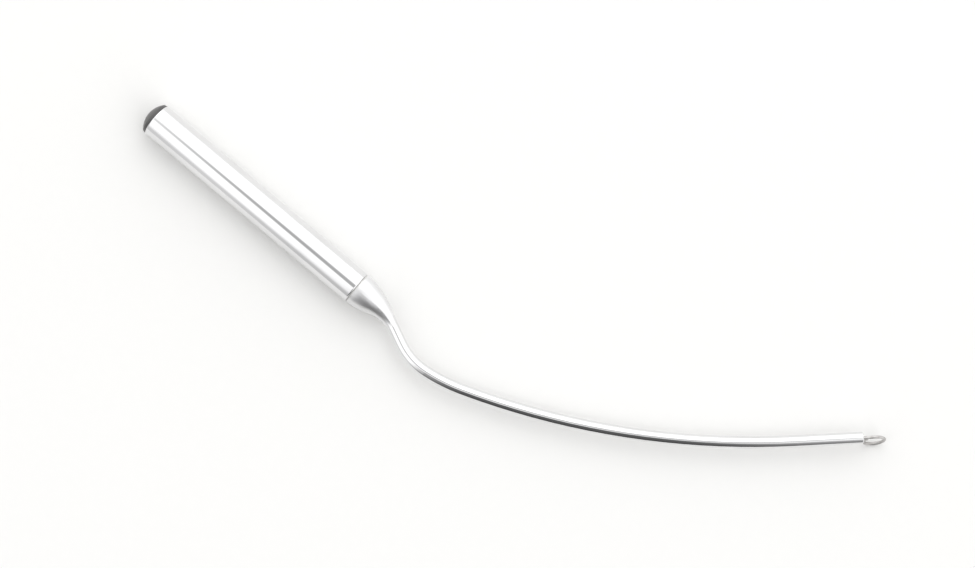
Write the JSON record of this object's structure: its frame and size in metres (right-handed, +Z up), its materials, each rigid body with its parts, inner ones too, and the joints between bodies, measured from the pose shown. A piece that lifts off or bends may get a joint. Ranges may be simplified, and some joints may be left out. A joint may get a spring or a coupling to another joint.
{
  "type": "inoculating loop",
  "caption": "Inoculating loop: a hollow polished handle with a dark domed end plug, a bent shank with a flared neck that screws into its front, and a wire loop at the tip.",
  "frame": {"origin": "the middle of the handle tube, on its axis", "axes": "+X along the handle towards the shank, +Y towards the side that the shank sweeps to, +Z up; the tool lies as it rests on a table, which is half a handle diameter below the axis"},
  "size_m": [0.1109, 0.036, 0.005],
  "materials": {
    "handle_steel": "polished, with fine draw lines along the handle",
    "shank_steel": "polished",
    "bush_brass": "turned",
    "washer_nylon": "natural nylon, matte",
    "loop_alloy": "drawn nickel-chrome wire, slightly heat-darkened",
    "plug_plastic": "dark grey, satin gloss",
    "ring_rubber": "matte"
  },
  "bodies": {
    "handle": {"handle_tube": "handle_steel", "front_bush": "bush_brass"},
    "washer": {"neck_washer": "washer_nylon"},
    "shank_unit": {"shank": "shank_steel", "loop_wire": "loop_alloy"},
    "plug": {"end_plug": "plug_plastic", "plug_ring": "ring_rubber"}
  },
  "joints": [
    {"name": "plug_pull", "type": "slide", "parent": "handle", "child": "plug", "axis": [-1, 0, 0], "range_m": [0, 0.005]},
    {"name": "shank_travel", "type": "slide", "parent": "handle", "child": "washer", "axis": [1, 0, 0], "range_m": [0, 0.0036]},
    {"name": "shank_turn", "type": "hinge", "parent": "washer", "child": "shank_unit", "pos_m": [0.0187, 0, 0], "axis": [1, 0, 0], "range_deg": [0, 2880]}
  ],
  "couplings": [
    {"joint": "shank_turn", "follows": "shank_travel", "rad_per_m": 13963}
  ]
}
